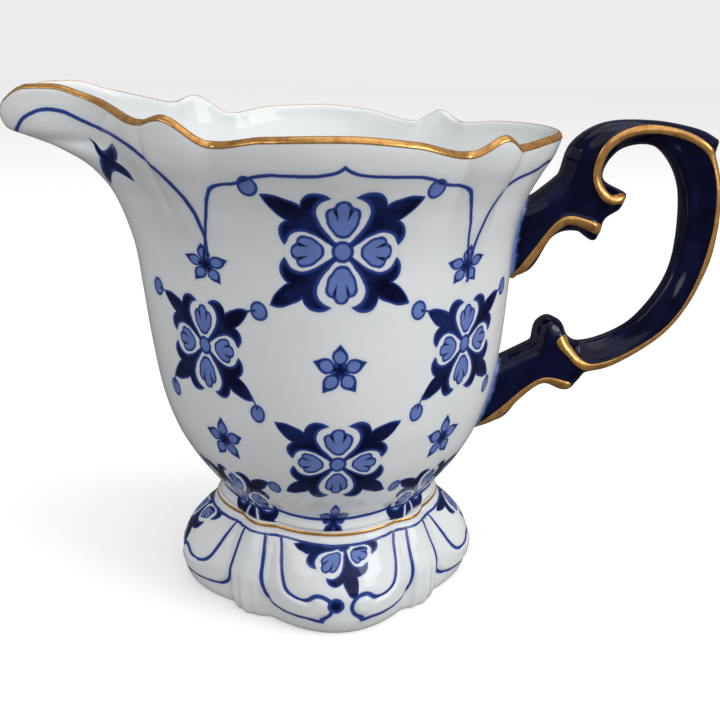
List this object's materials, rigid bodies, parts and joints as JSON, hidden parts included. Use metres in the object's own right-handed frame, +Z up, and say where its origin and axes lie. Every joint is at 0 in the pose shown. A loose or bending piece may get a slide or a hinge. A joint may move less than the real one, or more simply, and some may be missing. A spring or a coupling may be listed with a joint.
{
  "type": "cream jug",
  "caption": "Lobed porcelain cream jug with a long drawn spout, a C-scroll handle and a lobed hollow pedestal foot.",
  "frame": {"origin": "on the axis of the body, at the level of the foot ring that it stands on", "axes": "+Z up, +X towards the handle, the spout towards -X, the front face towards -Y"},
  "size_m": [0.1421, 0.0892, 0.1021],
  "materials": {
    "porcelain": "clear gloss glaze over white porcelain with cobalt blue painting",
    "cobalt_glaze": "deep cobalt underglaze, gloss",
    "gilding": "burnished gold film, slightly worn"
  },
  "bodies": {
    "root": {"jug_body": "porcelain", "pedestal_foot": "porcelain", "handle": "cobalt_glaze"}
  },
  "joints": []
}
